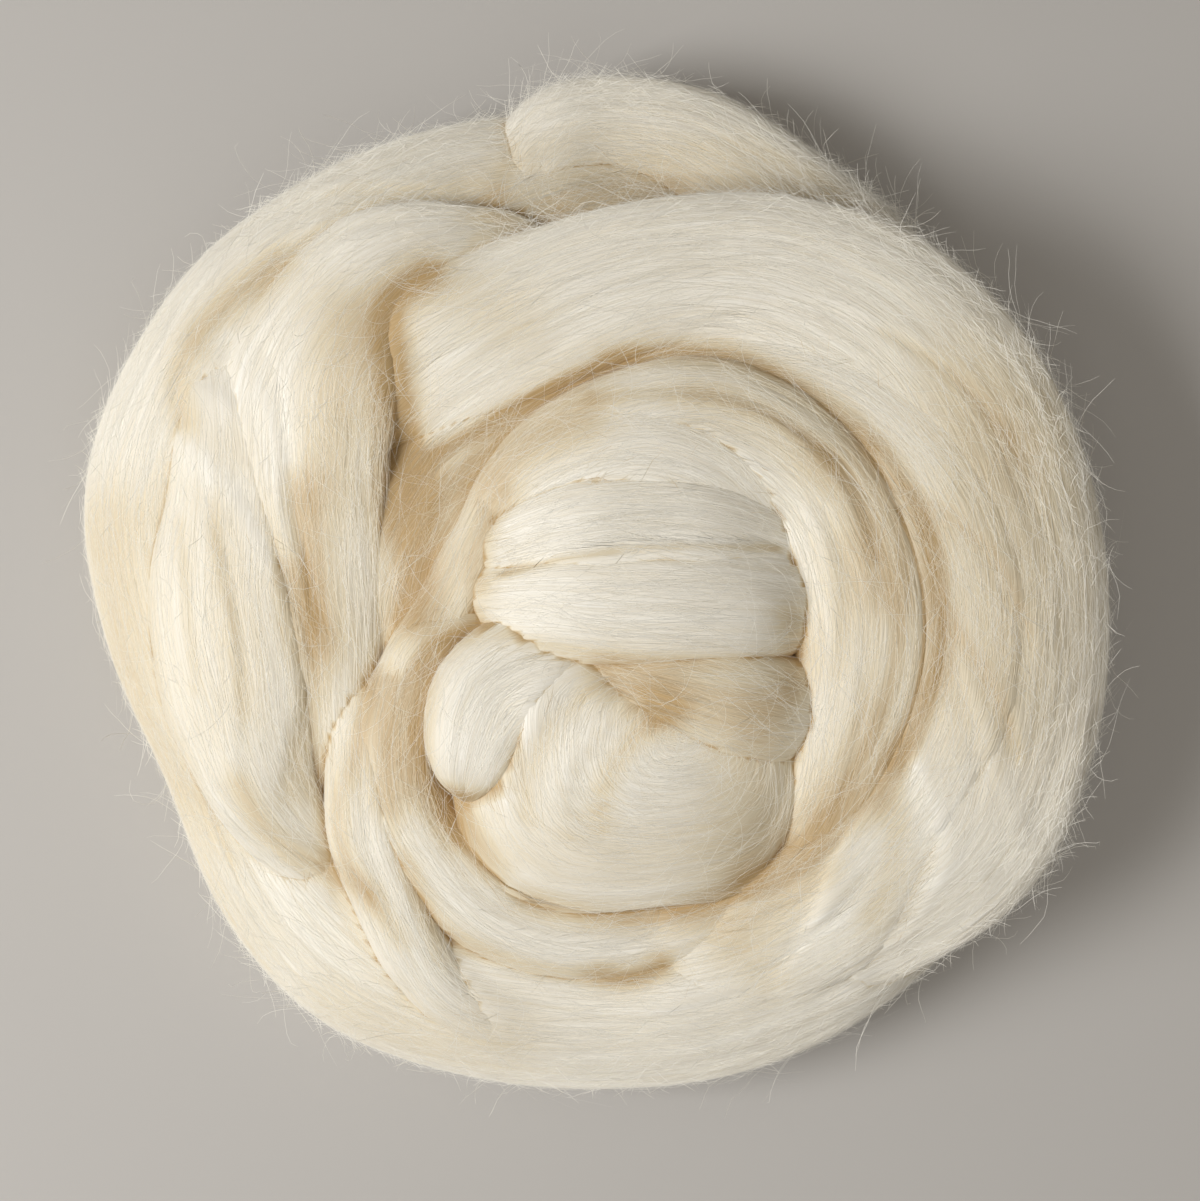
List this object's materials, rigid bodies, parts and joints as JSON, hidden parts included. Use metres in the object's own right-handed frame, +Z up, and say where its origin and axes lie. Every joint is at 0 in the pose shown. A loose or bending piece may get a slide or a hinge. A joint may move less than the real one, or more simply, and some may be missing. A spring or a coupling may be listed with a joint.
{
  "type": "wool roving",
  "caption": "Length of combed cream wool top laid round on itself in a soft round nest, its end tucked into the middle, flat underneath where it rests.",
  "frame": {"origin": "middle of the bounding box, on the flat underside that rests on the surface", "axes": "+Z up out of the nest; -Y towards the side where the outer turn runs plain, +Y towards the top loop, +X to the right when the tucked end is seen from above at the lower left of the middle"},
  "size_m": [0.2384, 0.241, 0.0671],
  "materials": {
    "wool": "combed undyed cream wool, silky fine fibres lying along the strand, soft lustre"
  },
  "bodies": {
    "root": {"roving": "wool"}
  },
  "joints": []
}
